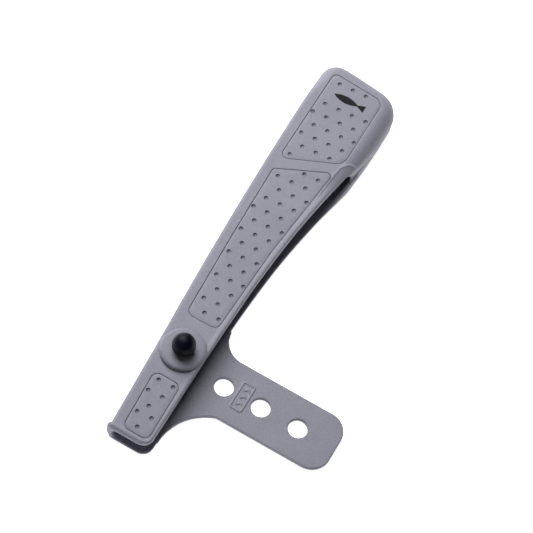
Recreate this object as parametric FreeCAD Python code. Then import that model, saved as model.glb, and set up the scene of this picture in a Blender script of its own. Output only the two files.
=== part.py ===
import FreeCAD, Part
import os
from math import atan, copysign, cos, degrees, radians, sin, tan
from FreeCAD import Placement, Rotation, Vector

# Carrying sheath for a lip grip: a flat tapered sleeve with a closed head, an open mouth and a long
# side slit, a strap with three holes, and a ball stud that a strap hole snaps over.
#
# Frame: the flat back lies on z = 0, the stud's axis stands over the origin, +Y points to the closed
# head and +X along the strap. All lengths are in millimetres.

# ---------------------------------------------------------------- sleeve
WALL = 2.0
FRONT_HEIGHT = 11.5         # front face over the back face, at the stud
FRONT_RISE = 0.026          # how much the front face rises per millimetre towards the head
MOUTH_Y = -43.7
FRONT_EDGE_R = 3.0          # rounding round the front face
BACK_EDGE_R = 1.8           # rounding round the back face
SPINE_MOUTH_X = -8.75       # spine side of the sleeve, at the mouth
SPINE_KNEE = (-11.5, 5.0)   # where the straight lower spine starts to curve
SPINE_MID = (-15.2, 72.0)
HEAD_LEFT = (-8.65, 151.0)  # centre of the head's corner on the spine side
HEAD_LEFT_R = 8.3
HEAD_RIGHT = (10.5, 147.0)  # centre of the head's corner on the slit side
HEAD_RIGHT_R = 11.0
HEAD_SLOPE = 3.8            # degrees that the closed end drops towards the slit side
SLIT_SIDE = [(21.6, 134.0), (20.6, 113.0), (16.6, 90.0), (13.0, 63.0), (11.2, 35.0)]
SLIT_SIDE_MOUTH_X = 10.2
FRONT_LIP = [(10.0, 10.0), (11.0, 48.0), (13.3, 77.0), (16.6, 100.0), (19.2, 111.0)]
FRONT_LIP_MOUTH_X = 9.8
SLIT_LIP_TOP = (23.5, 115.5)    # where the front wall's free edge would leave the head's side
SLIT_END = [(94.0, 2.0), (102.0, 4.2), (108.5, 6.2), (111.4, 8.8), (111.3, 12.0), (110.0, 15.0)]  # y and z
HEAD_JOIN_Y = 117.0         # the walls below meet the head here
FLAP_TOP_Y = 13.0           # the flap ends here, at the spine
CUT_GAP = 0.1               # clearance between pieces that move against each other
FLAP_OPEN = 20.0            # degrees that the flap opens, about the spine's parting line

# raised collar beside the slit's front edge and upper end, and the thicker roll round the mouth
COLLAR_HEIGHT = 0.5
COLLAR_FOOT = 3.0           # both end here, over the back face
COLLAR_MOUTH_X = 7.7
COLLAR_INNER = [(7.8, 10.0), (8.9, 48.0), (11.0, 77.0), (13.0, 95.0), (15.2, 108.0), (17.6, 117.0)]
ROLL_HEIGHT = 1.0
ROLL_WIDTH = 2.4

# ---------------------------------------------------------------- grip panels
PANEL_DEPTH = 0.8
GROOVE = 0.4                # open groove round each panel
UPPER_PANEL = [(-11.5, 101.6, 2.5), (14.0, 113.9, 6.0), (14.0, 151.3, 4.5), (-11.5, 152.8, 2.5)]
MIDDLE_PANEL = [(-7.7, 16.3, 3.2), (6.9, 16.3, 3.2), (8.3, 60.0, 120.0), (12.6, 107.8, 1.8),
                (-10.9, 95.7, 1.8), (-9.8, 60.0, 120.0)]
LOWER_PANEL = [(-3.9, -40.8, 3.0), (7.8, -40.8, 3.0), (6.9, -13.0, 3.0), (-5.4, -13.0, 3.0)]
DIMPLE_R = 1.0
DIMPLE_DEPTH = 0.4
DIMPLE_MARGIN = 1.25        # a dimple's centre is moved in until it is this far inside its panel
DIMPLE_NEAREST = 0.6        # and is left out if it was nearer to the edge than this
DIMPLE_PITCH = 6.53
DIMPLE_TILT = 4.6           # degrees that the rows rise towards the slit
DIMPLE_ROW = (3.75, -5.84)  # from one dimple to its neighbour in the row below
PATTERN_DIMPLE = (0.2, 81.8)    # one dimple of the pattern on the upper and middle panels
PATTERN_TOP_Y = 140.0
TOP_DIMPLES = [(-6.8, 148.8), (-0.4, 149.2), (6.0, 149.6)]
LOWER_DIMPLES = [(-2.0, -15.6), (4.7, -15.4), (-3.4, -21.8), (3.2, -21.5), (0.5, -27.6),
                 (-2.3, -32.1), (4.2, -31.7), (1.2, -37.8)]

# ---------------------------------------------------------------- printed mark, a plain fish
MARK_Y = 143.2
MARK_X = (-6.5, 8.5)
MARK_HALF_WIDTH = 1.7
MARK_TAIL = 3.2
MARK_THICK = 0.15

# ---------------------------------------------------------------- stud
STUD_AT = (-0.25, 0.85)     # its axis, on the front face
BOSS_R = 9.75
BOSS_HEIGHT = 2.4
BOSS_EDGE_R = 1.1           # the disc's edge is rounded above and below
BOSS_SEAT_R = 8.65
BOSS_DEPTH = 1.2            # how deep the boss sits in the front wall
BALL_R = 5.0
BALL_CENTRE = 5.7           # over the front face
SCREW_R = 1.45
SCREW_HOLE_R = 1.5
WASHER_R = 6.0
WASHER_THICK = 0.8
SCREW_HEAD_R = 2.8
SCREW_HEAD = 1.4
SCREW_TIP = 6.5             # over the front face
SCREW_SLOT = (0.7, 0.7)     # width and depth

# ---------------------------------------------------------------- strap
STRAP_THICK = 2.0
STRAP_HALF = 13.5
STRAP_TIP_X = 73.5
STRAP_CORNER_R = 8.5
STRAP_UPPER_ROOT = [(11.1, 23.6), (13.9, 16.4), (21.0, 13.5)]
STRAP_LOWER_ROOT = [(10.3, -36.0), (14.4, -21.8), (25.0, -13.5)]
HOLE_R = 4.15
HOLE_X = 20.8
HOLE_PITCH = 17.5
STRAP_FOLDS = [14.0, 29.5, 47.0]

FAR = 60.0                  # beyond every outline
FRONT = Placement(Vector(0, 0, FRONT_HEIGHT), Rotation(Vector(1, 0, 0), degrees(atan(FRONT_RISE))))
MIDDLE = Placement(Vector(0, 0, FRONT_HEIGHT / 2),
                   Rotation(Vector(1, 0, 0), degrees(atan(FRONT_RISE / 2))))
STUD = FRONT * Placement(Vector(*STUD_AT, 0), Rotation())


def vec(point, z=0.0):
    return Vector(point[0], point[1], z)


def line(a, b):
    return Part.LineSegment(a, b).toShape()


def arc(a, b, c):
    return Part.Arc(a, b, c).toShape()


def corner(centre, radius, first, last):
    """An arc about centre, from one direction in degrees to another."""
    def at(angle):
        return Vector(centre[0] + radius * cos(radians(angle)), centre[1] + radius * sin(radians(angle)), 0)
    return at(first), arc(at(first), at((first + last) / 2), at(last)), at(last)


def spline(points):
    curve = Part.BSplineCurve()
    curve.interpolate(points)
    return curve.toShape()


def face(edges):
    return Part.Face(Part.Wire(edges))


def placed(shape, placement):
    moved = shape.copy()
    moved.Placement = placement.multiply(moved.Placement)
    return moved


def rounded_face(corners):
    """A flat face from (x, y, corner radius) points, given counter-clockwise."""
    edges = []
    previous_end = None
    first_start = None
    for index, (x, y, radius) in enumerate(corners):
        here = Vector(x, y, 0)
        to_last = (vec(corners[index - 1]) - here).normalize()
        to_next = (vec(corners[(index + 1) % len(corners)]) - here).normalize()
        half = to_last.getAngle(to_next) / 2
        start = here + to_last * (radius / tan(half))
        end = here + to_next * (radius / tan(half))
        bisector = (to_last + to_next).normalize()
        middle = here + bisector * (radius / sin(half) - radius)
        if previous_end is None:
            first_start = start
        else:
            edges.append(line(previous_end, start))
        edges.append(arc(start, middle, end))
        previous_end = end
    edges.append(line(previous_end, first_start))
    return face(edges)


def spine_x(y):
    """The straight lower spine, as a function of y."""
    slope = (SPINE_KNEE[0] - SPINE_MOUTH_X) / (SPINE_KNEE[1] - MOUTH_Y)
    return SPINE_MOUTH_X + slope * (y - MOUTH_Y)


def tube_plan(inset, mouth_y):
    """Plan outline of the sleeve with its slit side closed, drawn inside the outer surface."""
    mouth_left = Vector(spine_x(mouth_y) + inset, mouth_y, 0)
    mouth_right = Vector(SLIT_SIDE_MOUTH_X - inset, mouth_y, 0)
    knee = Vector(SPINE_KNEE[0] + inset, SPINE_KNEE[1], 0)
    spine_mid = Vector(SPINE_MID[0] + inset, SPINE_MID[1], 0)
    slope_angle = 90 - HEAD_SLOPE
    left_start, left_arc, left_end = corner(HEAD_LEFT, HEAD_LEFT_R - inset, 180, slope_angle)
    right_start, right_arc, right_end = corner(HEAD_RIGHT, HEAD_RIGHT_R - inset, slope_angle, 0)
    side = [right_end] + [Vector(x - inset, y, 0) for x, y in SLIT_SIDE]
    return face([line(mouth_left, knee), arc(knee, spine_mid, left_start), left_arc,
                 line(left_end, right_start), right_arc, spline(side),
                 line(side[-1], mouth_right), line(mouth_right, mouth_left)])


def block(low, high):
    return Part.makeBox(high[0] - low[0], high[1] - low[1], high[2] - low[2], Vector(*low))


def above(placement, height=0.0):
    """Everything over a plane that is parallel to the given sloping plane."""
    slab = block((-FAR * 2, -FAR * 2, height), (FAR * 2, FAR * 4, height + FAR))
    return placed(slab, placement)


def flap_region(gap):
    """Everything on the mouth side of the flap's upper end, which is square to the hinge."""
    lean = degrees(atan((SPINE_MOUTH_X - SPINE_KNEE[0]) / (SPINE_KNEE[1] - MOUTH_Y)))
    region = block((-FAR, -FAR * 2, -FAR), (FAR, -gap, FAR))
    return placed(region, Placement(Vector(spine_x(FLAP_TOP_Y), FLAP_TOP_Y, 0),
                                    Rotation(Vector(0, 0, 1), lean)))


def hinge_relief():
    """The room that the flap leaves outside its hinge line, so that its edge clears the back when open."""
    axis = Vector(spine_x(-1) - spine_x(0), -1, -FRONT_RISE / 2)
    below = placed(block((-FAR, -FAR * 2, -FAR), (FAR, FAR * 4, CUT_GAP)), MIDDLE)
    below.rotate(Vector(spine_x(0), 0, FRONT_HEIGHT / 2), axis, -FLAP_OPEN)
    return below


def outer_block(grow):
    """The sleeve's outside as a solid block, grown sideways and forwards."""
    outer = tube_plan(-grow, MOUTH_Y).extrude(Vector(0, 0, FAR / 2)).cut(above(FRONT, grow))
    front_edges = []
    back_edges = []
    for edge in outer.Edges:
        box = edge.BoundBox
        if box.YMax < MOUTH_Y + 0.01 or box.ZLength > FAR / 8:
            continue
        if box.ZMax < 0.01:
            back_edges.append(edge)
        elif box.ZMin > FRONT_HEIGHT / 2:
            front_edges.append(edge)
    outer = outer.makeFillet(FRONT_EDGE_R + grow, front_edges)
    back_edges = [edge for edge in outer.Edges
                  if edge.BoundBox.ZMax < 0.01 and edge.BoundBox.YMax > MOUTH_Y + 0.01]
    return outer.makeFillet(BACK_EDGE_R, back_edges)


def collar():
    """The raised bands: thin layers round the block, kept beside the slit and at the mouth."""
    start = Vector(COLLAR_MOUTH_X, MOUTH_Y, 0)
    inner = [start] + [vec(point) for point in COLLAR_INNER]
    beside_slit = face([spline(inner), line(inner[-1], Vector(FAR, HEAD_JOIN_Y, 0)),
                        line(Vector(FAR, HEAD_JOIN_Y, 0), Vector(FAR, MOUTH_Y, 0)),
                        line(Vector(FAR, MOUTH_Y, 0), start)]).extrude(Vector(0, 0, FAR))
    at_mouth = block((-FAR, MOUTH_Y, 0), (FAR, MOUTH_Y + ROLL_WIDTH, FAR))
    front_half = block((-FAR, -FAR, COLLAR_FOOT), (FAR, FAR * 3, FAR))
    bands = outer_block(COLLAR_HEIGHT).common(beside_slit).fuse(outer_block(ROLL_HEIGHT).common(at_mouth))
    return bands.common(front_half)


def sleeve_shell():
    """The whole hollow sleeve, as one closed wall with its mouth and slit open."""
    outer = outer_block(0).fuse(collar()).removeSplitter()
    cavity = tube_plan(WALL, MOUTH_Y - WALL * 2).extrude(Vector(0, 0, FAR / 2))
    cavity.translate(Vector(0, 0, WALL))
    cavity = cavity.cut(above(FRONT, -WALL))
    return outer.cut(cavity).cut(slit_cutter())


def slit_cutter():
    """The slit: open under the front wall, and outside its free edge, up to a rounded upper end."""
    start = Vector(FRONT_LIP_MOUTH_X, MOUTH_Y - WALL, 0)
    turn = vec(SLIT_LIP_TOP)
    lip = [start] + [vec(point) for point in FRONT_LIP] + [turn]
    far_top = Vector(FAR, turn.y, 0)
    far_low = Vector(FAR, start.y, 0)
    plan = face([spline(lip), line(turn, far_top), line(far_top, far_low), line(far_low, start)])
    beyond_lip = plan.extrude(Vector(0, 0, FAR))
    under_front = block((0, start.y, 0), (FAR, turn.y, FAR)).cut(above(FRONT, -WALL))
    end = [Vector(0, y, z) for y, z in SLIT_END]
    low, high = Vector(0, start.y, WALL), Vector(0, start.y, FAR)
    over_end = Vector(0, end[-1].y, FAR)
    side = face([line(low, end[0]), spline(end), line(end[-1], over_end), line(over_end, high),
                 line(high, low)])
    reach = side.extrude(Vector(FAR, 0, 0))
    return beyond_lip.fuse(under_front).common(reach)


def strap_plan():
    upper = [vec(point) for point in STRAP_UPPER_ROOT]
    lower = [vec(point) for point in STRAP_LOWER_ROOT]
    straight = STRAP_TIP_X - STRAP_CORNER_R
    low_start, low_arc, low_end = corner((straight, STRAP_CORNER_R - STRAP_HALF), STRAP_CORNER_R, -90, 0)
    high_start, high_arc, high_end = corner((straight, STRAP_HALF - STRAP_CORNER_R), STRAP_CORNER_R, 0, 90)
    inner_low = Vector(lower[0].x - WALL * 2, lower[0].y, 0)
    inner_high = Vector(lower[0].x - WALL * 2, upper[0].y, 0)
    return face([line(inner_low, lower[0]), arc(*lower), line(lower[2], low_start), low_arc,
                 line(low_end, high_start), high_arc, line(high_end, upper[2]),
                 arc(upper[2], upper[1], upper[0]), line(upper[0], inner_high),
                 line(inner_high, inner_low)])


def strap_stretch(first_x, last_x):
    """The strap between two fold lines, with the holes that fall there."""
    plate = strap_plan().extrude(Vector(0, 0, STRAP_THICK))
    plate = plate.common(block((first_x, -FAR, -1), (last_x, FAR, STRAP_THICK + 1)))
    for index in range(3):
        centre = Vector(HOLE_X + index * HOLE_PITCH, 0, -1)
        plate = plate.cut(Part.makeCylinder(HOLE_R, STRAP_THICK + 2, centre))
    return plate


def panel_pocket(corners):
    outline = rounded_face(corners).makeOffset2D(GROOVE / 2)
    pocket = outline.extrude(Vector(0, 0, PANEL_DEPTH + 1))
    pocket.translate(Vector(0, 0, -PANEL_DEPTH))
    return placed(pocket, FRONT)


def pattern_dimples(outline):
    """Points of the slanted dimple pattern inside an outline, with those at its edge moved in."""
    across = Vector(DIMPLE_PITCH * cos(radians(DIMPLE_TILT)), DIMPLE_PITCH * sin(radians(DIMPLE_TILT)), 0)
    down = vec(DIMPLE_ROW)
    centres = []
    for row in range(-14, 15):
        for column in range(-14, 15):
            point = vec(PATTERN_DIMPLE) + across * column + down * row
            gap = outline.OuterWire.distToShape(Part.Vertex(point))[0]
            if point.y > PATTERN_TOP_Y or gap < DIMPLE_NEAREST or not outline.isInside(point, 0.001, True):
                continue
            point.x -= copysign(max(DIMPLE_MARGIN - gap, 0), point.x)
            centres.append(point)
    return centres


def grip_panel(corners, pattern, others=()):
    outline = rounded_face(corners)
    panel = outline.makeOffset2D(-GROOVE / 2).extrude(Vector(0, 0, PANEL_DEPTH))
    panel.translate(Vector(0, 0, -PANEL_DEPTH))
    sphere_r = (DIMPLE_R ** 2 + DIMPLE_DEPTH ** 2) / (2 * DIMPLE_DEPTH)
    centres = [vec(point) for point in others]
    if pattern:
        centres += pattern_dimples(outline)
    dimples = [Part.makeSphere(sphere_r, centre + Vector(0, 0, sphere_r - DIMPLE_DEPTH))
               for centre in centres]
    return placed(panel.cut(Part.makeCompound(dimples)), FRONT)


def printed_mark():
    nose = Vector(MARK_X[0], MARK_Y, 0)
    root = Vector(MARK_X[1] - MARK_TAIL, MARK_Y, 0)
    middle = (nose + root) / 2
    upper = middle + Vector(0, MARK_HALF_WIDTH, 0)
    lower = middle - Vector(0, MARK_HALF_WIDTH, 0)
    body = face([arc(nose, lower, root), arc(root, upper, nose)])
    tail_high = Vector(MARK_X[1], MARK_Y + MARK_HALF_WIDTH, 0)
    tail_low = Vector(MARK_X[1], MARK_Y - MARK_HALF_WIDTH, 0)
    tip = root - Vector(MARK_TAIL / 4, 0, 0)
    tail = face([line(tip, tail_low), line(tail_low, tail_high), line(tail_high, tip)])
    prints = [plan.extrude(Vector(0, 0, MARK_THICK)) for plan in (body, tail)]
    return placed(prints[0].fuse(prints[1]), FRONT)


def cylinder(radius, low, high):
    return Part.makeCylinder(radius, high - low, Vector(0, 0, low))


def stud_boss():
    disc = cylinder(BOSS_R, 0, BOSS_HEIGHT)
    rims = [edge for edge in disc.Edges if edge.BoundBox.ZLength < 0.01]
    disc = disc.makeFillet(BOSS_EDGE_R, rims)
    seat = cylinder(BOSS_SEAT_R, -BOSS_DEPTH, BOSS_EDGE_R)
    return placed(seat.fuse(disc).removeSplitter().cut(cylinder(SCREW_HOLE_R, -FAR, FAR)), STUD)


def ball_stud():
    ball = Part.makeSphere(BALL_R, Vector(0, 0, BALL_CENTRE))
    bore = cylinder(SCREW_HOLE_R, 0, SCREW_TIP + 0.3)
    return placed(ball.cut(bore).cut(cylinder(FAR, -FAR, BOSS_HEIGHT)), STUD)


def stud_washer():
    return placed(cylinder(WASHER_R, -WALL - WASHER_THICK, -WALL)
                  .cut(cylinder(SCREW_HOLE_R, -FAR, FAR)), STUD)


def stud_screw():
    head_top = -WALL - WASHER_THICK
    head = cylinder(SCREW_HEAD_R, head_top - SCREW_HEAD, head_top)
    width, depth = SCREW_SLOT
    slot = block((-SCREW_HEAD_R, -width / 2, head_top - SCREW_HEAD - 1),
                 (SCREW_HEAD_R, width / 2, head_top - SCREW_HEAD + depth))
    shank = cylinder(SCREW_R, head_top, SCREW_TIP)
    return placed(head.cut(slot).fuse(shank).removeSplitter(), STUD)


def build():
    shell = sleeve_shell()
    for corners in (UPPER_PANEL, MIDDLE_PANEL, LOWER_PANEL):
        shell = shell.cut(panel_pocket(corners))
    head_side = block((-FAR, HEAD_JOIN_Y, -FAR), (FAR, FAR * 4, FAR))
    walls = shell.cut(head_side)
    upper_half = walls.common(above(MIDDLE))
    flap = walls.common(above(MIDDLE, CUT_GAP)).common(flap_region(CUT_GAP))
    boss_seat = placed(cylinder(BOSS_SEAT_R, -BOSS_DEPTH, FAR).fuse(cylinder(BOSS_R, 0, FAR)), STUD)
    screw_hole = placed(cylinder(SCREW_HOLE_R, -FAR / 8, FAR), STUD)
    flap = flap.cut(hinge_relief()).cut(boss_seat).cut(screw_hole)
    root = strap_stretch(0, STRAP_FOLDS[0])
    nodes = {
        "sleeve_back": walls.cut(above(MIDDLE)).fuse(root).removeSplitter(),
        "sleeve_front": upper_half.cut(flap_region(0)),
        "sleeve_head": shell.common(head_side),
        "upper_grip_panel": grip_panel(UPPER_PANEL, True, TOP_DIMPLES),
        "middle_grip_panel": grip_panel(MIDDLE_PANEL, True),
        "printed_mark": printed_mark(),
        "mouth_flap": flap,
        "lower_grip_panel": grip_panel(LOWER_PANEL, False, LOWER_DIMPLES),
        "stud_boss": stud_boss(),
        "stud_washer": stud_washer(),
        "stud_screw": stud_screw(),
        "ball_stud": ball_stud(),
    }
    ends = STRAP_FOLDS[1:] + [STRAP_TIP_X + 1]
    for name, first, last in zip(("strap_root_link", "strap_middle_link", "strap_tip"), STRAP_FOLDS, ends):
        nodes[name] = strap_stretch(first + CUT_GAP, last)
    return nodes


os.makedirs("parts", exist_ok=True)
for name, shape in build().items():
    solids = shape.Solids
    assert shape.isValid() and solids, name
    print(name, len(solids), round(shape.Volume, 1), shape.BoundBox)
    Part.makeCompound(solids).exportStep("parts/" + name + ".step")
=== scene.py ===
import math

import bpy
import numpy as np
from mathutils import Matrix, Vector
from mathutils.geometry import delaunay_2d_cdt

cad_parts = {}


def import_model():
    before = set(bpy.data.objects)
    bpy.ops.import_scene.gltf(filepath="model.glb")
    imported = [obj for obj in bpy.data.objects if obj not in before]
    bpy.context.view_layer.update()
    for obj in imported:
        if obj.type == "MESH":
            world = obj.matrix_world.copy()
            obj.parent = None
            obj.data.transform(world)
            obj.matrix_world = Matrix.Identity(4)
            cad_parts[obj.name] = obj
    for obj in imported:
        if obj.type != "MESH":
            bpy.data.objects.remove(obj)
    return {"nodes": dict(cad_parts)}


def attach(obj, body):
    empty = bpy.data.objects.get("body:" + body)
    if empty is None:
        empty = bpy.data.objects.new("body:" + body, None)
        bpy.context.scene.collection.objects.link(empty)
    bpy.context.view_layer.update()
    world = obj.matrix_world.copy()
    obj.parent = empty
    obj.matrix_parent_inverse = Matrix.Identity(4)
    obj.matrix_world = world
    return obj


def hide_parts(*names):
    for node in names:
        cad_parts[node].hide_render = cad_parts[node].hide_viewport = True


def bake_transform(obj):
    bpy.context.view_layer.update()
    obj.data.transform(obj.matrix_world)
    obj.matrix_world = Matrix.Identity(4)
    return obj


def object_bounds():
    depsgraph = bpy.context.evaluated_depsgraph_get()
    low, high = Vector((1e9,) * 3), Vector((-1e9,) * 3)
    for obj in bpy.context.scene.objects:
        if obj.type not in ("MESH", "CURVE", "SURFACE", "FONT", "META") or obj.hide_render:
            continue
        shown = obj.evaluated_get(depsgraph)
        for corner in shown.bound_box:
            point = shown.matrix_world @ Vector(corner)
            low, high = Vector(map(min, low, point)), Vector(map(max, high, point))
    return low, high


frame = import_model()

CAD_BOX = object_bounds()

# The looks of a lip grip's sheath. Shapes are worked out in millimetres in the row's frame: the flat back
# lies on z = 0, the stud stands over the origin, +Y runs to the closed head and +X along the strap.
MM = 0.001

# ---------------------------------------------------------------- sleeve, as in the CAD
WALL = 2.0
FRONT_HEIGHT = 11.5
FRONT_RISE = 0.026
MOUTH_Y = -43.7
SPINE_MOUTH_X = -8.75
SPINE_KNEE = (-11.5, 5.0)
SPINE_MID = (-15.2, 72.0)
SPINE_TOP = (-16.95, 151.0)
HEAD_LEFT = (-8.65, 151.0)
HEAD_LEFT_R = 8.3
HEAD_RIGHT_R = 11.0
HEAD_SLOPE = math.radians(3.8)
SLIT_SIDE = [(10.2, -60.0), (10.6, -4.0), (11.2, 35.0), (13.0, 63.0), (16.6, 90.0), (20.6, 113.0),
             (21.6, 134.0), (21.5, 148.0), (21.5, 175.0)]
FRONT_LIP = [(9.8, -60.0), (9.9, -20.0), (10.0, 10.0), (11.0, 48.0), (13.3, 77.0), (16.6, 100.0),
             (19.0, 112.0), (21.0, 124.0), (24.0, 140.0), (30.0, 175.0)]
# side view of what the slit opens, as (y, z, corner radius): it ends in a slope and a round top
SLIT_REACH = [(-200.0, -20.0, 1.0), (88.0, -20.0, 1.0), (88.0, 0.4, 6.0), (112.2, 7.2, 3.2),
              (106.5, 30.0, 1.0), (-200.0, 30.0, 1.0)]

# roundings
SPINE_EDGE_R = 1.6
HEAD_EDGE_R = 5.4
HEAD_SIDE_R = 6.8
LIP_EDGE_R = 1.3
BACK_EDGE_R = 1.8
CAVITY_EDGE_R = 2.2
MOUTH_CORNER_R = 5.4
FREE_EDGE_R = 0.95

# raised bead beside the slit, the ear that it widens into round the slit's end, and the mouth's roll
BEAD_HEIGHT = 0.6
BEAD_WIDTH = 2.7
EAR_HEIGHT = 0.7
EAR_SIDE_HEIGHT = 1.7       # it stands out further where it turns on to the side
EAR_WIDTH = 6.0
EAR_RIDGE = 0.4
ROLL_HEIGHT = 1.1
ROLL_WIDTH = 2.7
RAISED_FOOT = (2.6, 3.6)    # bead and roll fade out between these heights, over the back
EAR_FOOT = (0.4, 2.2)

# ---------------------------------------------------------------- strap
STRAP_THICK = 2.0
STRAP_HALF = 13.5
STRAP_TIP_X = 73.5
STRAP_CORNER_R = 8.5
STRAP_ROOT_X = 5.0
STRAP_UPPER_ROOT = [(11.1, 23.6), (13.6, 17.2), (21.0, 13.5)]
STRAP_LOWER_ROOT = [(10.3, -36.0), (14.4, -21.8), (25.0, -13.5)]
STRAP_EDGE_R = 0.35
HOLE_R = 4.15
HOLES_X = (20.8, 38.3, 55.8)
STRAP_SEAM_X = 11.7         # the sleeve's own skin ends here, inside the strap's root,
STRAP_SEAM_TOP_Y = 32.0     # as far up as this
BADGE_CENTRE = (29.6, 0.0)  # raised mark between the first two holes
BADGE_HALF = (2.6, 6.4)
BADGE_HEIGHT = 0.32

# ---------------------------------------------------------------- grip panels
PANEL_DEPTH = 0.8
GROOVE = 0.14
PANEL_EDGE = 0.09
UPPER_PANEL = [(-11.5, 101.6, 2.5), (14.0, 113.9, 6.0), (14.0, 151.3, 4.5), (-11.5, 152.8, 2.5)]
MIDDLE_PANEL = [(-7.7, 16.3, 3.2), (6.9, 16.3, 3.2), (8.3, 60.0, 120.0), (12.6, 107.8, 1.8),
                (-10.9, 95.7, 1.8), (-9.8, 60.0, 120.0)]
LOWER_PANEL = [(-3.9, -40.8, 3.0), (7.8, -40.8, 3.0), (6.9, -13.0, 3.0), (-5.4, -13.0, 3.0)]
FACE_CELL = 1.9
UNDERSIDE_CELL = 3.0
DIMPLE_R = 1.0
DIMPLE_DEPTH = 0.65
DIMPLE_MARGIN = 1.3
DIMPLE_NEAREST = 0.6
DIMPLE_PITCH = 6.53
DIMPLE_TILT = math.radians(4.6)
DIMPLE_ROW = (3.75, -5.84)
PATTERN_DIMPLE = (0.2, 81.8)
PATTERN_TOP_Y = 140.0
TOP_DIMPLES = [(-6.8, 148.8), (-0.4, 149.2), (6.0, 149.6)]
LOWER_DIMPLES = [(-2.0, -15.6), (4.7, -15.4), (-3.4, -21.8), (3.2, -21.5), (0.5, -27.6),
                 (-2.3, -32.1), (4.2, -31.7), (1.2, -37.8)]

# ---------------------------------------------------------------- stud
STUD_AT = (-0.25, 0.85)     # its axis, on the front face
BOSS_R = 9.75
BOSS_HEIGHT = 2.4
BOSS_EDGE_R = 1.6
BOSS_SEAT_R = 8.65
BOSS_DEPTH = 1.2
BOSS_DOME = 0.3             # how much its face rises from the rim to the ball
BALL_R = 5.0
BALL_CENTRE = 5.7

SLEEVE_CELL = 0.5
STRAP_CELL = 0.34
GRID_TOP_Y = 170.0          # beyond the head


# ================================================================ distance fields
def smooth_curve(points):
    """A function of y through (x, y) points: a cubic with each point's slope taken from its neighbours."""
    xs = np.array([p[0] for p in points])
    ys = np.array([p[1] for p in points])
    slopes = np.gradient(xs, ys)

    def curve(y):
        i = np.clip(np.searchsorted(ys, y) - 1, 0, len(ys) - 2)
        span = ys[i + 1] - ys[i]
        t = np.clip((y - ys[i]) / span, 0, 1)
        rise = (2 * t ** 3 - 3 * t ** 2 + 1) * xs[i] + (3 * t ** 2 - 2 * t ** 3) * xs[i + 1]
        return rise + span * ((t ** 3 - 2 * t ** 2 + t) * slopes[i] + (t ** 3 - t ** 2) * slopes[i + 1])
    return curve


def circle_through(a, b, c):
    """Centre and radius of the circle through three points."""
    (ax, ay), (bx, by), (cx, cy) = a, b, c
    d = 2 * (ax * (by - cy) + bx * (cy - ay) + cx * (ay - by))
    a2, b2, c2 = ax * ax + ay * ay, bx * bx + by * by, cx * cx + cy * cy
    x = (a2 * (by - cy) + b2 * (cy - ay) + c2 * (ay - by)) / d
    y = (a2 * (cx - bx) + b2 * (ax - cx) + c2 * (bx - ax)) / d
    return x, y, math.hypot(ax - x, ay - y)


slit_side_x = smooth_curve(SLIT_SIDE)
front_lip_x = smooth_curve(FRONT_LIP)
SPINE_ARC = circle_through(SPINE_KNEE, SPINE_MID, SPINE_TOP)


def spine_x(y):
    slope = (SPINE_KNEE[0] - SPINE_MOUTH_X) / (SPINE_KNEE[1] - MOUTH_Y)
    straight = SPINE_MOUTH_X + slope * (y - MOUTH_Y)
    cx, cy, radius = SPINE_ARC
    bowed = cx - np.sqrt(radius ** 2 - (np.minimum(y, SPINE_TOP[1]) - cy) ** 2)
    return np.where(y < SPINE_KNEE[1], straight, bowed)


def front_z(y):
    return FRONT_HEIGHT + FRONT_RISE * y


def parting(p):
    """Height over the plane half way up the sleeve, where its front and back halves meet."""
    return p[:, 2] - front_z(p[:, 1]) / 2


def smoothstep(low, high, value):
    t = np.clip((value - low) / (high - low), 0, 1)
    return t * t * (3 - 2 * t)


def rounded(a, b, radius):
    """What is inside both a and b, with the edge between them rounded."""
    u = a + radius
    v = b + radius
    return np.hypot(np.maximum(u, 0), np.maximum(v, 0)) + np.minimum(np.maximum(u, v), 0) - radius


def smooth_max(a, b, width):
    h = np.maximum(width - np.abs(a - b), 0) / width
    return np.maximum(a, b) + h * h * width / 4


def polygon_distance(outline, x, y):
    """Signed distance to a closed polygon, negative inside."""
    best = np.full(x.shape, 1e9)
    inside = np.zeros(x.shape, bool)
    previous = outline[-1]
    for point in outline:
        ex, ey = point[0] - previous[0], point[1] - previous[1]
        wx, wy = x - previous[0], y - previous[1]
        t = np.clip((wx * ex + wy * ey) / (ex * ex + ey * ey), 0, 1)
        best = np.minimum(best, (wx - ex * t) ** 2 + (wy - ey * t) ** 2)
        crosses = (previous[1] > y) != (point[1] > y)
        inside ^= crosses & (wx * ey < wy * ex if ey > 0 else wx * ey > wy * ex)
        previous = point
    return np.where(inside, -1, 1) * np.sqrt(best)


def arc_points(a, b, c, count):
    """Points along the arc from a through b to c."""
    cx, cy, radius = circle_through(a, b, c)
    angles = np.unwrap([math.atan2(p[1] - cy, p[0] - cx) for p in (a, b, c)])
    sweep = np.linspace(angles[0], angles[2], count)
    return [(cx + radius * math.cos(t), cy + radius * math.sin(t)) for t in sweep]


def rounded_outline(corners, grow, steps=10):
    """Outline of (x, y, radius) corners given counter-clockwise, moved outwards by grow."""
    outline = []
    for index, (x, y, radius) in enumerate(corners):
        here = Vector((x, y))
        to_last = (Vector(corners[index - 1][:2]) - here).normalized()
        to_next = (Vector(corners[(index + 1) % len(corners)][:2]) - here).normalized()
        half = to_last.angle(to_next) / 2
        centre = here + (to_last + to_next).normalized() * (radius / math.sin(half))
        convex = to_next.x * to_last.y - to_next.y * to_last.x > 0
        start = here + to_last * (radius / math.tan(half)) - centre
        end = here + to_next * (radius / math.tan(half)) - centre
        size = (radius + grow if convex else radius - grow) / radius
        first = math.atan2(start.y, start.x)
        turn = math.remainder(math.atan2(end.y, end.x) - first, math.tau)
        for step in range(steps + 1):
            angle = first + turn * step / steps
            outline.append((centre.x + radius * size * math.cos(angle),
                            centre.y + radius * size * math.sin(angle)))
    return outline


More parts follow.
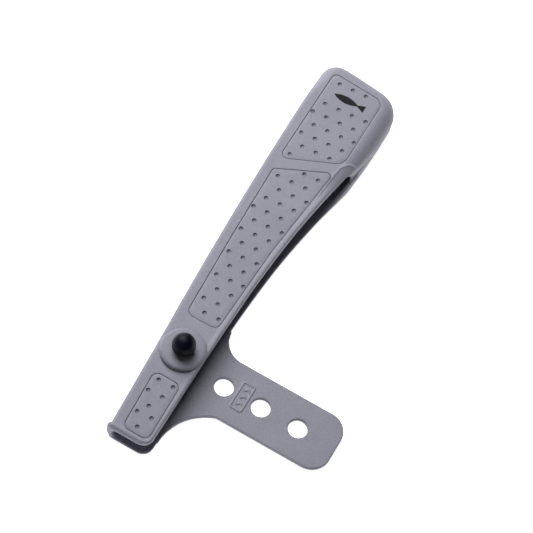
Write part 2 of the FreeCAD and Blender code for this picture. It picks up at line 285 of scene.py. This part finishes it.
def strap_outline():
    straight = STRAP_TIP_X - STRAP_CORNER_R
    rise = STRAP_HALF - STRAP_CORNER_R
    bend = STRAP_CORNER_R * math.sqrt(0.5)
    lower_corner = [(straight, -STRAP_HALF), (straight + bend, -rise - bend), (STRAP_TIP_X, -rise)]
    upper_corner = [(STRAP_TIP_X, rise), (straight + bend, rise + bend), (straight, STRAP_HALF)]
    upper_root = STRAP_UPPER_ROOT[::-1]
    return ([(STRAP_ROOT_X, STRAP_LOWER_ROOT[0][1])] + arc_points(*STRAP_LOWER_ROOT, 16)
            + arc_points(*lower_corner, 14) + arc_points(*upper_corner, 14)
            + arc_points(*upper_root, 12) + [(STRAP_ROOT_X, upper_root[2][1])])


STRAP_OUTLINE = strap_outline()
SLIT_REACH_OUTLINE = rounded_outline(SLIT_REACH, 0)


def badge_height(x, y):
    """The raised mark beside the first hole: a plain frame with three wavy bars in it."""
    across, along = x - BADGE_CENTRE[0], y - BADGE_CENTRE[1]
    outline = rounded(np.abs(across) - BADGE_HALF[0], np.abs(along) - BADGE_HALF[1], 0.8)
    height = smoothstep(0.42, 0.18, np.abs(outline))
    for bar in (-3.5, 0.0, 3.5):
        wave = np.abs(along - bar - 0.6 * np.sin(across * 2.2))
        height = np.maximum(height, smoothstep(0.5, 0.22, wave) * smoothstep(1.9, 1.5, np.abs(across)))
    return BADGE_HEIGHT * height


def strap_field(p):
    x, y, z = p.T
    plan = polygon_distance(STRAP_OUTLINE, x, y)
    for hole in HOLES_X:
        plan = np.maximum(plan, HOLE_R - np.hypot(x - hole, y))
    top = z - STRAP_THICK - badge_height(x, y)
    return np.maximum(rounded(plan, top, STRAP_EDGE_R), rounded(plan, -z, STRAP_EDGE_R))


def outside_of(a, b):
    """Distance from what is inside both a and b."""
    return np.hypot(np.maximum(a, 0), np.maximum(b, 0)) + np.minimum(np.maximum(a, b), 0)


def hump(across, width):
    """A rounded ridge of height 1 that spans from 0 to width."""
    half = width / 2
    return np.sqrt(np.clip(1 - ((across - half) / half) ** 2, 0, 1))


def raised(y, z, from_slit):
    """Height of the bead, the ear and the mouth's roll over the sleeve's outside."""
    ear = smoothstep(82, 106, y)
    bead = BEAD_HEIGHT * hump(from_slit, BEAD_WIDTH) * smoothstep(*RAISED_FOOT, z)
    width = BEAD_WIDTH + (EAR_WIDTH - BEAD_WIDTH) * smoothstep(76, 117, y)
    height = EAR_HEIGHT + (EAR_SIDE_HEIGHT - EAR_HEIGHT) * smoothstep(11.5, 6.5, z)
    slope = 0.35 + 0.65 * np.clip(from_slit / width, 0, 1)
    pad = height * slope * smoothstep(width, width - 0.6, from_slit)
    pad += EAR_RIDGE * np.exp(-((from_slit - width + 0.8) / 0.4) ** 2)
    beside_slit = bead + (pad * smoothstep(*EAR_FOOT, z) - bead) * ear
    roll = ROLL_HEIGHT * hump(y - MOUTH_Y, ROLL_WIDTH) * smoothstep(*RAISED_FOOT, z)
    return smooth_max(beside_slit, roll, 0.3)


def sleeve_field(p):
    """The sleeve's wall: an outer tube less its pocket and slit, with its bead, ear and roll."""
    x, y, z = p.T
    sloped_y = y + (x - HEAD_LEFT[0]) * math.tan(HEAD_SLOPE)
    end = (sloped_y - (HEAD_LEFT[1] + HEAD_LEFT_R)) * math.cos(HEAD_SLOPE)
    spine = spine_x(y) - x
    side = x - slit_side_x(y)
    left = rounded(spine, end, HEAD_LEFT_R)
    right = rounded(side, end, HEAD_RIGHT_R)
    top = z - front_z(y)
    head = smoothstep(80, 112, y)
    head_r = HEAD_EDGE_R + (HEAD_SIDE_R - HEAD_EDGE_R) * smoothstep(-6, 14, x)
    left_r = SPINE_EDGE_R + (HEAD_EDGE_R - SPINE_EDGE_R) * smoothstep(130, 158, y)
    side_r = LIP_EDGE_R + (head_r - LIP_EDGE_R) * head
    outer = np.maximum(rounded(left, top, left_r), rounded(right, top, side_r))
    outer = np.maximum(outer, np.maximum(rounded(left, -z, BACK_EDGE_R), rounded(right, -z, BACK_EDGE_R)))

    plan = np.maximum(left, right)
    pocket = np.maximum(rounded(plan + WALL, top + WALL, CAVITY_EDGE_R),
                        rounded(plan + WALL, WALL - z, CAVITY_EDGE_R))
    # the slit: outside the front wall's free edge, and between the two walls
    past = polygon_distance(SLIT_REACH_OUTLINE, y, z)
    lip = front_lip_x(y) - x
    beyond = np.maximum(lip, WALL - z)
    between = np.maximum(np.maximum(WALL - z, top + WALL), -x)
    slit = smooth_max(np.minimum(beyond, between), past, 1.2)

    body = outer - raised(y, z, outside_of(lip, past))
    wall = smooth_max(body, -pocket, 0.4)
    wall = rounded(wall, -slit, FREE_EDGE_R)
    # the mouth's end, with round corners on the slit side of each wall
    front_share = smoothstep(-0.8, 0.8, z - front_z(y) / 2)
    edge = -lip * front_share + side * (1 - front_share)
    mouth = rounded(MOUTH_Y - y, edge, MOUTH_CORNER_R)
    return rounded(wall, mouth, FREE_EDGE_R)


def sleeve_and_root(p):
    return np.minimum(sleeve_field(p), strap_field(p))


# ================================================================ meshing a field
CORNERS = np.array([(i, j, k) for i in (0, 1) for j in (0, 1) for k in (0, 1)])
EDGES = [(a, b) for a in range(8) for b in range(a + 1, 8) if np.abs(CORNERS[a] - CORNERS[b]).sum() == 1]


def gradient(field, p, step=0.02):
    g = np.empty_like(p)
    for axis in range(3):
        offset = np.zeros(3)
        offset[axis] = step
        g[:, axis] = (field(p + offset) - field(p - offset)) / (2 * step)
    return g


def pull(field, p, limit):
    """Moves points on to a field's zero surface, no further than limit."""
    g = gradient(field, p)
    step = field(p)[:, None] * g / np.maximum((g * g).sum(1), 0.2)[:, None]
    length = np.linalg.norm(step, axis=1)[:, None]
    return p - step * np.minimum(1, limit / np.maximum(length, 1e-9))


def evaluate(field, grid_points, chunk=400000):
    return np.concatenate([field(grid_points[i:i + chunk]) for i in range(0, len(grid_points), chunk)])


def mesh_field(field, cuts, low, high, cell):
    """Closed quad mesh of what is inside field and every cut. Edges where field meets a cut stay sharp."""
    axes = [np.arange(l, h + cell, cell) for l, h in zip(low, high)]
    shape = tuple(len(a) for a in axes)
    points = np.stack(np.meshgrid(*axes, indexing="ij"), -1).reshape(-1, 3)
    values = [evaluate(f, points).reshape(shape) for f in [field] + cuts]
    total = np.maximum.reduce(values)

    def at_corners(grid, cells):
        return np.stack([grid[tuple((cells + c).T)] for c in CORNERS], 1)

    below = total < 0
    count = sum(below[c[0]:shape[0] - 1 + c[0], c[1]:shape[1] - 1 + c[1], c[2]:shape[2] - 1 + c[2]]
                .astype(np.int8) for c in CORNERS)
    cells = np.argwhere((count > 0) & (count < 8))
    number = np.full([n - 1 for n in shape], -1, np.int32)
    number[tuple(cells.T)] = np.arange(len(cells))

    corner_values = at_corners(total, cells)
    place = np.zeros((len(cells), 3))
    crossings = np.zeros(len(cells))
    for a, b in EDGES:
        va, vb = corner_values[:, a], corner_values[:, b]
        crossed = (va < 0) != (vb < 0)
        t = np.where(crossed, va / np.where(crossed, va - vb, 1), 0)
        place += (CORNERS[a] + t[:, None] * (CORNERS[b] - CORNERS[a])) * crossed[:, None]
        crossings += crossed
    verts = np.array([a[0] for a in axes]) + (cells + place / crossings[:, None]) * cell

    def combined(p):
        return np.maximum.reduce([f(p) for f in [field] + cuts])
    for _ in range(3):
        verts = pull(combined, verts, cell / 2)
    base = at_corners(values[0], cells)
    base_mixed = (base.min(1) < 0) & (base.max(1) >= 0)
    for cut, grid in zip(cuts, values[1:]):
        side = at_corners(grid, cells)
        edge = base_mixed & (side.min(1) < 0) & (side.max(1) >= 0)
        sharp = verts[edge]
        for _ in range(6):
            sharp = pull(cut, pull(field, sharp, cell), cell)
        verts[edge] = sharp

    faces = []
    for axis in range(3):
        u, v = (axis + 1) % 3, (axis + 2) % 3
        ahead = [slice(None)] * 3
        here = [slice(None)] * 3
        ahead[axis] = slice(1, None)
        here[axis] = slice(None, -1)
        flips = np.argwhere(below[tuple(ahead)] != below[tuple(here)])
        flips = flips[(flips[:, u] > 0) & (flips[:, v] > 0)]
        flips = flips[(flips[:, u] < shape[u] - 1) & (flips[:, v] < shape[v] - 1)]
        quad = []
        for du, dv in ((0, 0), (-1, 0), (-1, -1), (0, -1)):
            cell_at = flips.copy()
            cell_at[:, u] += du
            cell_at[:, v] += dv
            quad.append(number[tuple(cell_at.T)])
        quad = np.stack(quad, 1)
        outward = below[tuple(flips.T)]
        quad[~outward] = quad[~outward][:, ::-1]
        faces.append(quad)
    return verts, np.concatenate(faces)


def new_piece(name, verts, faces, sharp_angle=50):
    """A mesh object from millimetre points, smooth apart from its sharp edges."""
    mesh = bpy.data.meshes.new(name)
    mesh.from_pydata((np.asarray(verts) * MM).tolist(), [], [list(f) for f in faces])
    mesh.validate()
    mesh.shade_smooth()
    mesh.set_sharp_from_angle(angle=math.radians(sharp_angle))
    piece = bpy.data.objects.new(name, mesh)
    bpy.context.scene.collection.objects.link(piece)
    return piece


# ================================================================ pieces on the sloping front face
TILT = math.atan(FRONT_RISE)


def on_front(points):
    """Points given over the front face, with z measured from it, in the row's frame."""
    x, y, z = np.asarray(points, float).T
    return np.stack([x, y * math.cos(TILT) - z * math.sin(TILT),
                     FRONT_HEIGHT + y * math.sin(TILT) + z * math.cos(TILT)], 1)


def loops(outlines):
    """Matching loops from outlines, each with the run counts of the first."""
    counts = [max(1, round(math.dist(a, b) / 2.0))
              for a, b in zip(outlines[0], outlines[0][1:] + outlines[0][:1])]
    made = []
    for outline in outlines:
        loop = []
        for a, b, parts in zip(outline, outline[1:] + outline[:1], counts):
            loop += [(a[0] + (b[0] - a[0]) * t / parts, a[1] + (b[1] - a[1]) * t / parts)
                     for t in range(parts)]
        made.append(loop)
    return made


def stack(rings, heights):
    """Points and quads of rings joined one over the other."""
    size = len(rings[0])
    verts = [(x, y, h) for ring, h in zip(rings, heights) for x, y in ring]
    faces = []
    for level in range(len(rings) - 1):
        lower, upper = level * size, (level + 1) * size
        for i in range(size):
            j = (i + 1) % size
            faces.append((lower + i, lower + j, upper + j, upper + i))
    return verts, faces


def inner_grid(rim, spacing, margin):
    """Points of an even triangular grid inside a rim, at least margin away from it."""
    xs, ys = [p[0] for p in rim], [p[1] for p in rim]
    rows = np.arange(min(ys), max(ys), spacing * math.sqrt(0.75))
    grid = np.array([(x + (r % 2) * spacing / 2, y) for r, y in enumerate(rows)
                     for x in np.arange(min(xs), max(xs), spacing)])
    return grid[polygon_distance(rim, grid[:, 0], grid[:, 1]) < -margin]


def circle_points(centre, radius, count):
    return [(centre[0] + radius * math.cos(math.tau * s / count),
             centre[1] + radius * math.sin(math.tau * s / count)) for s in range(count)]


def add_sheet(verts, faces, rim, first, inner, edges, height, upward):
    """Closes the ring of verts from first on with triangles through inner points and edges between them."""
    size = len(rim)
    flat = [Vector(point) for point in rim] + [Vector(point) for point in inner]
    joined = [(i, (i + 1) % size) for i in range(size)] + [(a + size, b + size) for a, b in edges]
    out, _, triangles, origins, _, _ = delaunay_2d_cdt(flat, joined, [tuple(range(size))], 1, 1e-6)
    place = []
    for point, source in zip(out, origins):
        on_rim = [s for s in source if s < size]
        if on_rim:
            place.append(first + on_rim[0])
        else:
            place.append(len(verts))
            verts.append((point.x, point.y, height(point.x, point.y)))
    for triangle in triangles:
        faces.append(tuple(place[i] for i in (triangle if upward else triangle[::-1])))


def add_underside(verts, faces, rim):
    """Closes the lowest ring with even triangles."""
    add_sheet(verts, faces, rim, 0, inner_grid(rim, UNDERSIDE_CELL, 1.0), [],
              lambda x, y: -PANEL_DEPTH, upward=False)


def pocket_cutter(corners):
    """The tool that sinks a panel's pocket, flared at the face so that the pocket's rim is broken."""
    grows = (GROOVE / 2, GROOVE / 2, GROOVE / 2 + PANEL_EDGE * 2, GROOVE / 2 + PANEL_EDGE * 2)
    heights = (-PANEL_DEPTH, -PANEL_EDGE, PANEL_EDGE, 1.0)
    rings = loops([rounded_outline(corners, grow) for grow in grows])
    verts, faces = stack(rings, heights)
    size = len(rings[0])
    faces.append(tuple(range(3 * size, 4 * size)))
    add_underside(verts, faces, rings[0])
    return new_piece("pocket_cutter", on_front(verts), faces)


def pattern_dimples(corners):
    """Points of the slanted dimple pattern inside an outline, with those at its edge moved in."""
    outline = rounded_outline(corners, 0)
    across = np.array((DIMPLE_PITCH * math.cos(DIMPLE_TILT), DIMPLE_PITCH * math.sin(DIMPLE_TILT)))
    grid = np.array([np.array(PATTERN_DIMPLE) + across * i + np.array(DIMPLE_ROW) * j
                     for j in range(-14, 15) for i in range(-14, 15)])
    gap = -polygon_distance(outline, grid[:, 0], grid[:, 1])
    keep = (gap > DIMPLE_NEAREST) & (grid[:, 1] < PATTERN_TOP_Y)
    grid[:, 0] -= np.copysign(np.maximum(DIMPLE_MARGIN - gap, 0), grid[:, 0])
    return [tuple(point) for point in grid[keep]]


def dimple_depth(distance):
    """Depth of a dimple's rounded bowl, by distance from its centre."""
    return DIMPLE_DEPTH * np.clip(1 - (distance / DIMPLE_R) ** 2, 0, 1) ** 0.38


def panel(name, corners, centres):
    """A dimpled grip panel, with its edge broken all round."""
    inset = -GROOVE / 2
    grows = (inset, inset, inset - PANEL_EDGE * 0.3, inset - PANEL_EDGE)
    heights = (-PANEL_DEPTH, -PANEL_EDGE, -PANEL_EDGE * 0.3, 0.0)
    rings = loops([rounded_outline(corners, grow) for grow in grows])
    verts, faces = stack(rings, heights)
    add_underside(verts, faces, rings[0])

    rim = rings[-1]
    inner, edges = [], []
    segments = 24
    for cx, cy in centres:
        room = -polygon_distance(rim, np.array([cx]), np.array([cy]))[0] - 0.04
        for radius in (1.3, 1.0, 0.96, 0.88, 0.74, 0.52, 0.26):
            if radius * DIMPLE_R > room:
                continue
            first = len(inner)
            inner += circle_points((cx, cy), radius * DIMPLE_R, segments)
            edges += [(first + s, first + (s + 1) % segments) for s in range(segments)]
        inner.append((cx, cy))
    grid = inner_grid(rim, FACE_CELL, 0.8)
    centres = np.array(centres)
    nearest = np.hypot(*(grid[:, None] - centres).transpose(2, 0, 1)).min(1)
    inner += [tuple(point) for point in grid[nearest > 2.0 * DIMPLE_R]]

    def height(x, y):
        return -dimple_depth(np.hypot(*(centres - (x, y)).T).min())
    add_sheet(verts, faces, rim, 3 * len(rim), inner, edges, height, upward=True)
    return new_piece(name, on_front(verts), faces, sharp_angle=40)


def lathe(name, profile, segments=96):
    """A turned piece on the stud's axis, from (radius, height) points that start and end on the axis."""
    verts = [(*STUD_AT, profile[0][1])]
    faces = []
    rings = profile[1:-1]
    for radius, height in rings:
        verts += [(*point, height) for point in circle_points(STUD_AT, radius, segments)]
    verts.append((*STUD_AT, profile[-1][1]))
    last = len(verts) - 1
    for s in range(segments):
        t = (s + 1) % segments
        faces.append((0, 1 + t, 1 + s))
        for level in range(len(rings) - 1):
            a, b = 1 + level * segments, 1 + (level + 1) * segments
            faces.append((a + s, a + t, b + t, b + s))
        a = 1 + (len(rings) - 1) * segments
        faces.append((a + s, a + t, last))
    return new_piece(name, on_front(verts), faces, sharp_angle=40)


def bow(centre, radius, first, last, steps):
    """(radius, height) points along an arc of a turned profile, angles in degrees from level."""
    return [(centre[0] + radius * math.cos(math.radians(a)), centre[1] + radius * math.sin(math.radians(a)))
            for a in np.linspace(first, last, steps)]


def cut_with(piece, tool):
    modifier = piece.modifiers.new("cut", "BOOLEAN")
    modifier.operation = "DIFFERENCE"
    modifier.solver = "EXACT"
    modifier.object = tool
    with bpy.context.temp_override(object=piece):
        bpy.ops.object.modifier_apply(modifier=modifier.name)
    bpy.data.objects.remove(tool)


# ================================================================ materials
def node_material(name):
    material = bpy.data.materials.new(name)
    material.use_nodes = True
    tree = material.node_tree
    shader = tree.nodes["Principled BSDF"]
    coords = tree.nodes.new("ShaderNodeTexCoord")
    return material, tree, shader, coords.outputs["Object"]


def noise(tree, coords, scale, detail=2.0, roughness=0.5):
    node = tree.nodes.new("ShaderNodeTexNoise")
    node.inputs["Scale"].default_value = scale
    node.inputs["Detail"].default_value = detail
    node.inputs["Roughness"].default_value = roughness
    tree.links.new(coords, node.inputs["Vector"])
    return node.outputs["Fac"]


def ramp(tree, value, stops):
    node = tree.nodes.new("ShaderNodeValToRGB")
    tree.links.new(value, node.inputs["Fac"])
    while len(node.color_ramp.elements) < len(stops):
        node.color_ramp.elements.new(0.5)
    for element, (position, colour) in zip(node.color_ramp.elements, stops):
        element.position = position
        element.color = (*colour, 1.0)
    return node.outputs["Color"]


def grey_ramp(tree, value, stops):
    return ramp(tree, value, [(position, (grey,) * 3) for position, grey in stops])


def bump(tree, height, strength, distance, under=None):
    node = tree.nodes.new("ShaderNodeBump")
    node.inputs["Strength"].default_value = strength
    node.inputs["Distance"].default_value = distance
    tree.links.new(height, node.inputs["Height"])
    if under is not None:
        tree.links.new(under, node.inputs["Normal"])
    return node.outputs["Normal"]


def multiply(tree, a, b):
    mix = tree.nodes.new("ShaderNodeMix")
    mix.data_type = "RGBA"
    mix.blend_type = "MULTIPLY"
    mix.inputs["Factor"].default_value = 1.0
    tree.links.new(a, mix.inputs["A"])
    tree.links.new(b, mix.inputs["B"])
    return mix.outputs["Result"]


def hollow_painted_shade(tree, reach, stops):
    """Painted shade that darkens hollows up to reach millimetres wide, by (openness, factor) stops: ambient
    occlusion multiplied into the colour where less light falls.
    """
    node = tree.nodes.new("ShaderNodeAmbientOcclusion")
    node.samples = 8
    node.inputs["Distance"].default_value = reach * MM
    return grey_ramp(tree, node.outputs["AO"], stops)


def tone(colour, factor):
    return tuple(c * factor for c in colour)


def rubber(name, colour, grain, painted_shade=None):
    """Matt moulded rubber: a fine even grain, soft blotches of tone and a faint sheen, with painted shade in
    its hollows when that is given.
    """
    material, tree, shader, coords = node_material(name)
    blotches = noise(tree, coords, 55, 4, 0.6)
    blotch = ramp(tree, blotches, [(0.3, tone(colour, 0.95)), (0.7, tone(colour, 1.05))])
    speck = grey_ramp(tree, noise(tree, coords, 2600, 2, 0.6), [(0.35, 0.86), (0.65, 1.10)])
    colour = multiply(tree, blotch, speck)
    # painted shade: the colour is darkened by ambient occlusion wherever the surface sits in a hollow
    if painted_shade:
        colour = multiply(tree, colour, hollow_painted_shade(tree, *painted_shade))
    tree.links.new(colour, shader.inputs["Base Color"])
    rough = grey_ramp(tree, noise(tree, coords, 400, 3), [(0.2, 0.56), (0.8, 0.68)])
    tree.links.new(rough, shader.inputs["Roughness"])
    shader.inputs["Specular IOR Level"].default_value = 0.35
    shader.inputs["Sheen Weight"].default_value = 0.08
    shader.inputs["Sheen Roughness"].default_value = 0.5
    fine = bump(tree, noise(tree, coords, 3200, 2, 0.7), grain, 0.00006)
    soft = bump(tree, noise(tree, coords, 700, 2, 0.5), grain * 0.5, 0.0001, fine)
    tree.links.new(soft, shader.inputs["Normal"])
    return material


def black_plastic():
    """Satin black moulded plastic with faint rubbing marks."""
    material, tree, shader, coords = node_material("satin_black_plastic")
    colour = ramp(tree, noise(tree, coords, 300, 4),
                  [(0.3, (0.001, 0.001, 0.005)), (0.7, (0.002, 0.002, 0.010))])
    tree.links.new(colour, shader.inputs["Base Color"])
    rough = grey_ramp(tree, noise(tree, coords, 900, 5, 0.7), [(0.3, 0.38), (0.75, 0.5)])
    tree.links.new(rough, shader.inputs["Roughness"])
    shader.inputs["Specular IOR Level"].default_value = 0.10
    tree.links.new(bump(tree, noise(tree, coords, 2400, 3, 0.6), 0.25, 0.00004), shader.inputs["Normal"])
    return material


def ink():
    """Matt black print, a little thin in places."""
    material, tree, shader, coords = node_material("black_print")
    colour = ramp(tree, noise(tree, coords, 1500, 4, 0.7),
                  [(0.35, (0.006, 0.006, 0.008)), (0.8, (0.014, 0.014, 0.018))])
    tree.links.new(colour, shader.inputs["Base Color"])
    shader.inputs["Roughness"].default_value = 0.7
    shader.inputs["Specular IOR Level"].default_value = 0.15
    tree.links.new(bump(tree, noise(tree, coords, 3200, 2, 0.7), 0.3, 0.00004), shader.inputs["Normal"])
    return material


def steel():
    """Plain steel with fine turning marks round the screw's axis."""
    material, tree, shader, coords = node_material("turned_steel")
    rings = tree.nodes.new("ShaderNodeTexWave")
    rings.wave_type = "RINGS"
    rings.rings_direction = "Z"
    rings.inputs["Scale"].default_value = 900
    rings.inputs["Distortion"].default_value = 1.5
    tree.links.new(coords, rings.inputs["Vector"])
    colour = ramp(tree, rings.outputs["Fac"], [(0.0, (0.42, 0.42, 0.41)), (1.0, (0.58, 0.58, 0.57))])
    tree.links.new(colour, shader.inputs["Base Color"])
    shader.inputs["Metallic"].default_value = 1.0
    rough = grey_ramp(tree, noise(tree, coords, 800, 4), [(0.3, 0.28), (0.7, 0.42)])
    tree.links.new(rough, shader.inputs["Roughness"])
    tree.links.new(bump(tree, rings.outputs["Fac"], 0.15, 0.00003), shader.inputs["Normal"])
    return material


def paper():
    """The pale backdrop."""
    material, tree, shader, coords = node_material("pale_floor")
    colour = grey_ramp(tree, noise(tree, coords, 12, 3), [(0.3, 0.94), (0.7, 0.96)])
    tree.links.new(colour, shader.inputs["Base Color"])
    shader.inputs["Roughness"].default_value = 0.9
    shader.inputs["Specular IOR Level"].default_value = 0.1
    shader.inputs["Emission Color"].default_value = (1, 1, 1, 1)
    shader.inputs["Emission Strength"].default_value = 0.9
    return material


RUBBER_COLOUR = (0.234, 0.233, 0.284)
PANEL_COLOUR = (0.230, 0.229, 0.279)
# the boss is the same rubber as the sleeve, painted a shade darker all over to stand for the shade round the
# ball
BOSS_SHADED_COLOUR = (0.216, 0.215, 0.262)
# painted shade as (reach in millimetres, [(openness, factor)]): darker in the pocket, slit, mouth, grooves
# and the strap beside the sleeve, and in the dimples
POCKET_PAINTED_SHADE = (6.0, [(0.05, 0.12), (0.4, 0.62), (0.85, 1.0)])
DIMPLE_PAINTED_SHADE = (3.0, [(0.4, 0.30), (0.92, 1.0)])


def paint(piece, material):
    piece.data.materials.clear()
    piece.data.materials.append(material)


# ================================================================ building the object
def build_sleeve(skin):
    low = (-18.6, MOUTH_Y - 1.6, -1.0)
    high = (24.0, HEAD_LEFT[1] + HEAD_LEFT_R + 2.0, front_z(GRID_TOP_Y) + 1.5)
    middle = (high[0], high[1], front_z(GRID_TOP_Y) / 2 + 1.0)

    def under_parting(p):
        return -parting(p)

    def strap_seam(p):
        return np.minimum(p[:, 0] - STRAP_SEAM_X, STRAP_SEAM_TOP_Y - p[:, 1])
    back = new_piece("sleeve_back_skin",
                     *mesh_field(sleeve_and_root, [parting, strap_seam], low, middle, SLEEVE_CELL))
    front = new_piece("sleeve_front_skin",
                      *mesh_field(sleeve_field, [under_parting], (low[0], low[1], 4.0), high, SLEEVE_CELL))
    for corners in (UPPER_PANEL, MIDDLE_PANEL, LOWER_PANEL):
        cut_with(front, pocket_cutter(corners))
    clear = 0.04
    seat = lathe("seat_cutter", [(0, -BOSS_DEPTH - clear), (BOSS_SEAT_R + clear, -BOSS_DEPTH - clear),
                                 (BOSS_SEAT_R + clear, clear), (BOSS_R + clear, clear),
                                 (BOSS_R + clear, 6.0), (0, 6.0)])
    cut_with(front, seat)
    front.data.set_sharp_from_angle(angle=math.radians(50))
    paint(back, skin)
    paint(front, skin)
    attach(back, "sleeve")
    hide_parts("sleeve_back")
    twist_with_flap(front)
    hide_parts("sleeve_front", "sleeve_head", "mouth_flap")


def twist_with_flap(piece):
    """Bakes the piece's placement into its mesh."""
    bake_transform(piece)


def build_panels(skin):
    upper = panel("upper_grip_panel_skin", UPPER_PANEL, TOP_DIMPLES + pattern_dimples(UPPER_PANEL))
    middle = panel("middle_grip_panel_skin", MIDDLE_PANEL, pattern_dimples(MIDDLE_PANEL))
    lower = panel("lower_grip_panel_skin", LOWER_PANEL, LOWER_DIMPLES)
    nodes = ("upper_grip_panel", "middle_grip_panel", "lower_grip_panel")
    for piece, node in zip((upper, middle, lower), nodes):
        paint(piece, skin)
        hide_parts(node)
    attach(upper, "sleeve")
    twist_with_flap(middle)
    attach(lower, "mouth_flap")


def build_stud(skin, plastic):
    rim = BOSS_R - BOSS_EDGE_R
    shoulder = BOSS_HEIGHT - BOSS_DOME
    dome = [(r, shoulder + BOSS_DOME * (1 - (r / rim) ** 2)) for r in np.linspace(rim - 0.5, 1.0, 8)]
    boss = lathe("stud_boss_skin",
                 [(0, -BOSS_DEPTH), (BOSS_SEAT_R, -BOSS_DEPTH), (BOSS_SEAT_R, 0.0), (BOSS_R - 0.3, 0.05)]
                 + bow((rim, shoulder - BOSS_EDGE_R), BOSS_EDGE_R, 0, 80, 9)
                 + dome + [(0, BOSS_HEIGHT)])
    paint(boss, skin)
    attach(boss, "mouth_flap")
    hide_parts("stud_boss")
    foot = -math.degrees(math.asin((BALL_CENTRE - BOSS_HEIGHT) / BALL_R))
    ball = lathe("ball_stud_skin", [(0, BOSS_HEIGHT)] + bow((0, BALL_CENTRE), BALL_R, foot, 90, 40)[:-1]
                 + [(0, BALL_CENTRE + BALL_R)])
    paint(ball, plastic)
    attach(ball, "mouth_flap")
    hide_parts("ball_stud")


def build_strap(skin):
    near, middle, _ = HOLES_X
    stretches = [
        ("strap_root_skin", STRAP_SEAM_X, near, "sleeve", "strap_root_link", 11.7, 18.5),
        ("strap_middle_skin", near, middle, "strap_root_link", "strap_middle_link", 24.0, 35.0),
        ("strap_tip_skin", middle, STRAP_TIP_X + 1, "strap_middle_link", "strap_tip", 42.0, 52.0),
    ]
    for name, first, last, body_a, body_b, start, end in stretches:
        def after(p, first=first):
            return first - p[:, 0]

        def before(p, last=last):
            return p[:, 0] - last
        low = (first - 1.0, -38.0 if first < 15 else -STRAP_HALF - 4, -0.8)
        high = (last + 0.7, 26.0 if first < 15 else STRAP_HALF + 1, STRAP_THICK + 0.9)
        piece = new_piece(name, *mesh_field(strap_field, [after, before], low, high, STRAP_CELL))
        paint(piece, skin)
        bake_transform(piece)
        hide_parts(body_b)


def finish_cad_nodes():
    paint(frame["nodes"]["printed_mark"], ink())
    metal = steel()
    for node in ("stud_washer", "stud_screw"):
        paint(frame["nodes"][node], metal)


# ================================================================ stage, light and camera
def floor():
    size = 3.0
    mesh = bpy.data.meshes.new("floor")
    corners = [(-size, -size, 0), (size, -size, 0), (size, size, 0), (-size, size, 0)]
    mesh.from_pydata(corners, [], [(0, 1, 2, 3)])
    plane = bpy.data.objects.new("floor", mesh)
    plane.location.z = -0.0004
    bpy.context.scene.collection.objects.link(plane)
    plane.data.materials.append(paper())


def area_light(name, place, target, size, power, colour=(1, 1, 1)):
    data = bpy.data.lights.new(name, "AREA")
    data.shape = "DISK"
    data.size = size
    data.energy = power
    data.color = colour
    light = bpy.data.objects.new(name, data)
    light.location = place
    light.rotation_euler = (Vector(target) - Vector(place)).to_track_quat("-Z", "Y").to_euler()
    bpy.context.scene.collection.objects.link(light)


def lights():
    middle = (CAD_BOX[0] + CAD_BOX[1]) / 2
    area_light("key", middle + Vector((-0.47, 0.32, 0.55)), middle, 0.7, 8.9)
    area_light("overhead", middle + Vector((-0.12, 0.12, 0.76)), middle, 0.3, 1.5)
    area_light("fill", middle + Vector((-0.20, -0.60, 0.45)), middle, 0.6, 0.3)
    world = bpy.data.worlds.new("studio")
    world.use_nodes = True
    world.node_tree.nodes["Background"].inputs["Color"].default_value = (1, 1, 1, 1)
    world.node_tree.nodes["Background"].inputs["Strength"].default_value = 0.05
    bpy.context.scene.world = world


CAMERA_ANGLES = (16.9, 61.3, 14.05)     # azimuth, elevation and roll in degrees
CAMERA_AIM = (7.87, 59.55, 0)           # in millimetres
CAMERA_DISTANCE = 0.8598
CAMERA_LENS = 135.85


def camera():
    azimuth, elevation, roll = (math.radians(angle) for angle in CAMERA_ANGLES)
    aim = Vector(CAMERA_AIM) * MM
    back = Vector((math.sin(azimuth) * math.cos(elevation), -math.cos(azimuth) * math.cos(elevation),
                   math.sin(elevation)))
    right = Vector((0, 0, 1)).cross(back).normalized()
    up = back.cross(right)
    across = right * math.cos(roll) + up * math.sin(roll)
    upward = up * math.cos(roll) - right * math.sin(roll)
    data = bpy.data.cameras.new("camera")
    data.lens = CAMERA_LENS
    data.sensor_width = 36.0
    data.clip_start = 0.01
    view = bpy.data.objects.new("camera", data)
    turn = Matrix((across, upward, back)).transposed().to_4x4()
    view.matrix_world = Matrix.Translation(aim + back * CAMERA_DISTANCE) @ turn
    bpy.context.scene.collection.objects.link(view)
    bpy.context.scene.camera = view


# both rubbers carry painted shade in their hollows
moulded = rubber("moulded_rubber", RUBBER_COLOUR, 0.35, POCKET_PAINTED_SHADE)
dimpled = rubber("panel_rubber", PANEL_COLOUR, 0.3, DIMPLE_PAINTED_SHADE)
build_sleeve(moulded)
build_panels(dimpled)
# the boss's rubber has no painted shade in its hollows; instead its whole colour is painted darker
build_stud(rubber("boss_rubber", BOSS_SHADED_COLOUR, 0.35), black_plastic())
build_strap(moulded)
finish_cad_nodes()
floor()
lights()
camera()
bpy.context.scene.view_settings.view_transform = "Standard"
